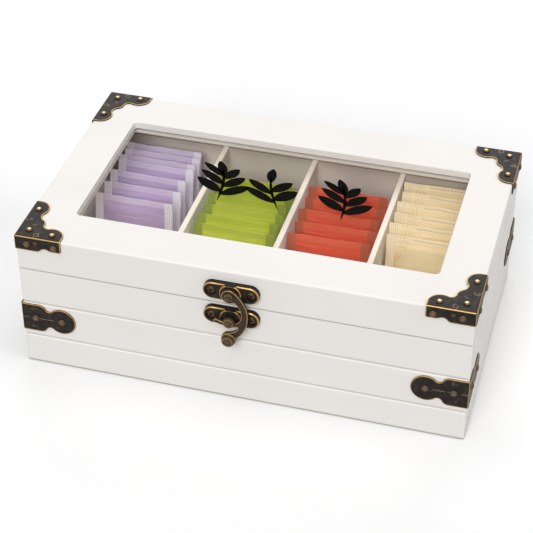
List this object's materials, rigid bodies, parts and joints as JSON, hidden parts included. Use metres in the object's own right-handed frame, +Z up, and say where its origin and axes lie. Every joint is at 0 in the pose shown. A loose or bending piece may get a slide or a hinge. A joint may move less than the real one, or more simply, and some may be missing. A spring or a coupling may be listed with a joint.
{
  "type": "tea bag box with hinged lid",
  "caption": "Painted wooden tea bag box with a hinged glass lid, plank-grooved walls, dividers, pressed metal corner pieces, a swing hook latch and rows of paper sachets",
  "frame": {"origin": "At the middle of the face that the box rests on, under the middle of its walls", "axes": "+X runs along the front to the right, the front with the latch faces -Y, +Z is up"},
  "size_m": [0.3046, 0.1976, 0.1063],
  "materials": {
    "white_paint": "satin white paint on wood",
    "inside_paint": "satin white paint on thin board",
    "clear_glass": "clear, polished",
    "aged_bronze": "dark antique patina with worn golden edges",
    "bright_bronze": "polished domes with brown shade",
    "brown_screw": "dull brown",
    "lavender_paper": "matte printed paper",
    "green_paper": "matte printed paper",
    "red_paper": "matte printed paper",
    "cream_paper": "matte printed paper"
  },
  "bodies": {
    "box": {"front_wall": "white_paint", "right_wall": "white_paint", "back_wall": "white_paint", "left_wall": "white_paint", "floor_panel": "inside_paint", "divider_left": "inside_paint", "divider_middle": "inside_paint", "divider_right": "inside_paint", "base_strap_front_left": "aged_bronze", "base_strap_front_right": "aged_bronze", "base_strap_back_left": "aged_bronze", "base_strap_back_right": "aged_bronze", "base_strap_nails": "bright_bronze", "catch_plate": "aged_bronze", "catch_plate_screws": "brown_screw", "catch_post": "bright_bronze", "hinge_base_leaf_left": "aged_bronze", "hinge_base_leaf_right": "aged_bronze", "hinge_base_screws": "brown_screw", "lavender_sachets": "lavender_paper", "green_sachets": "green_paper", "red_sachets": "red_paper", "cream_sachets": "cream_paper"},
    "lid": {"lid_front_rail": "white_paint", "lid_right_rail": "white_paint", "lid_back_rail": "white_paint", "lid_left_rail": "white_paint", "lid_top_board": "white_paint", "window_glass": "clear_glass", "glass_bead_front": "white_paint", "glass_bead_right": "white_paint", "glass_bead_back": "white_paint", "glass_bead_left": "white_paint", "lid_corner_front_left": "aged_bronze", "lid_corner_front_right": "aged_bronze", "lid_corner_back_left": "aged_bronze", "lid_corner_back_right": "aged_bronze", "lid_corner_nails": "bright_bronze", "pivot_plate": "aged_bronze", "pivot_plate_screws": "brown_screw", "pivot_pin": "bright_bronze", "hinge_lid_leaf_left": "aged_bronze", "hinge_lid_leaf_right": "aged_bronze", "hinge_pin_left": "aged_bronze", "hinge_pin_right": "aged_bronze", "hinge_lid_screws": "brown_screw"},
    "latch": {"latch_hook": "aged_bronze", "latch_knob": "aged_bronze"}
  },
  "joints": [
    {"name": "lid_hinge", "type": "hinge", "parent": "box", "child": "lid", "pos_m": [0, 0.089, 0.078], "axis": [-1, 0, 0], "range_deg": [0, 100]},
    {"name": "latch_swing", "type": "hinge", "parent": "lid", "child": "latch", "pos_m": [-0.0043, -0.0988, 0.09], "axis": [0, -1, 0], "range_deg": [0, 100]}
  ]
}
